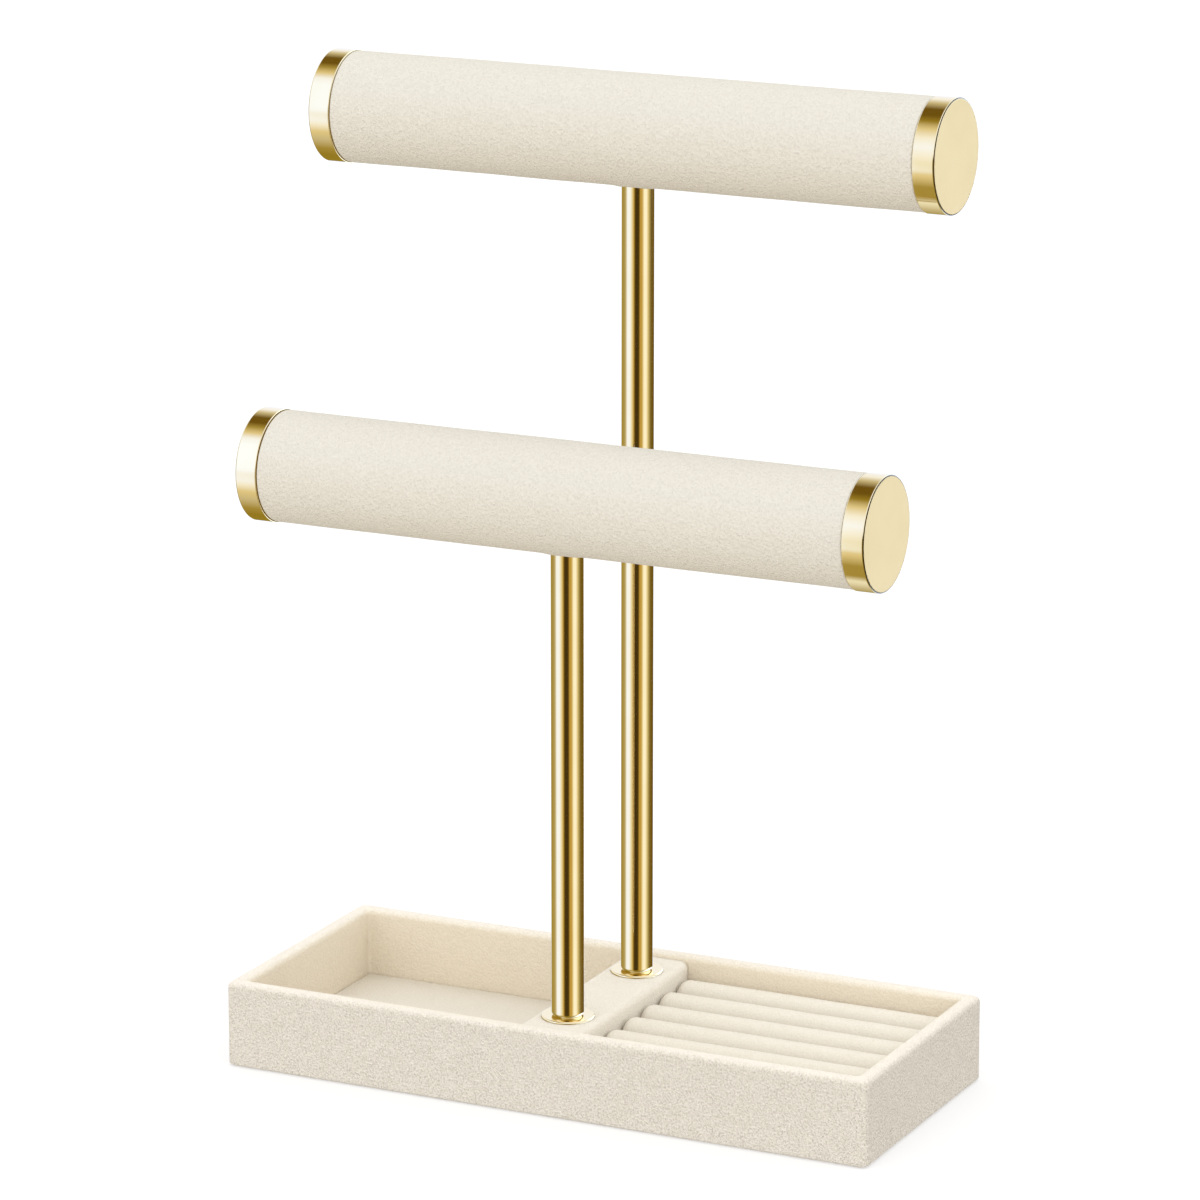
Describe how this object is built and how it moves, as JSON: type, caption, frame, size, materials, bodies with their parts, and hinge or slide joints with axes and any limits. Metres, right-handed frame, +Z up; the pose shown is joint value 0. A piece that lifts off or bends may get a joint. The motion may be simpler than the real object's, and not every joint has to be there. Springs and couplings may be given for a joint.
{
  "type": "bracelet holder",
  "caption": "Jewellery stand: open velvet tray with ring rolls and a compartment, and polished posts at two heights, each carrying a swivelling velvet bar with metal end caps.",
  "frame": {"origin": "under the middle of the tray, on the surface it stands on", "axes": "+X along the bars to the ring side, +Y from front to back, +Z up along the posts"},
  "size_m": [0.216, 0.09, 0.3095],
  "materials": {
    "velvet": "short-pile velvet",
    "base_felt": "pressed felt",
    "board": "raw fibreboard",
    "card": "plain card",
    "gold": "polished gold plate",
    "steel": "bright zinc",
    "saddle_plastic": "moulded",
    "nut_brass": "turned brass"
  },
  "bodies": {
    "base": {"base_pad": "base_felt", "tray_velvet": "velvet", "post_block_velvet": "velvet", "compartment_lining": "velvet", "ring_board": "card", "tray_floor": "board", "tray_front_wall": "board", "tray_back_wall": "board", "tray_left_wall": "board", "tray_right_wall": "board", "post_block": "board", "ring_roll_1": "velvet", "ring_roll_2": "velvet", "ring_roll_3": "velvet", "ring_roll_4": "velvet", "ring_roll_5": "velvet", "ring_roll_6": "velvet", "front_flange": "gold", "front_post": "gold", "front_foot_plug": "steel", "front_top_plug": "steel", "front_stud": "steel", "front_base_screw": "steel", "front_base_washer": "steel", "rear_flange": "gold", "rear_post": "gold", "rear_foot_plug": "steel", "rear_top_plug": "steel", "rear_stud": "steel", "rear_base_screw": "steel", "rear_base_washer": "steel"},
    "lower_bar": {"lower_bar_core": "card", "lower_bar_velvet": "velvet", "lower_bar_left_cap": "gold", "lower_bar_right_cap": "gold", "lower_bar_saddle": "saddle_plastic", "lower_bar_nut": "nut_brass"},
    "upper_bar": {"upper_bar_core": "card", "upper_bar_velvet": "velvet", "upper_bar_left_cap": "gold", "upper_bar_right_cap": "gold", "upper_bar_saddle": "saddle_plastic", "upper_bar_nut": "nut_brass"}
  },
  "joints": [
    {"name": "lower_bar_swivel", "type": "hinge", "parent": "base", "child": "lower_bar", "pos_m": [0, -0.0246, 0.1847], "axis": [0, 0, 1], "range_deg": [-60, 60]},
    {"name": "upper_bar_swivel", "type": "hinge", "parent": "base", "child": "upper_bar", "pos_m": [0, 0.0246, 0.288], "axis": [0, 0, 1], "continuous": true}
  ]
}
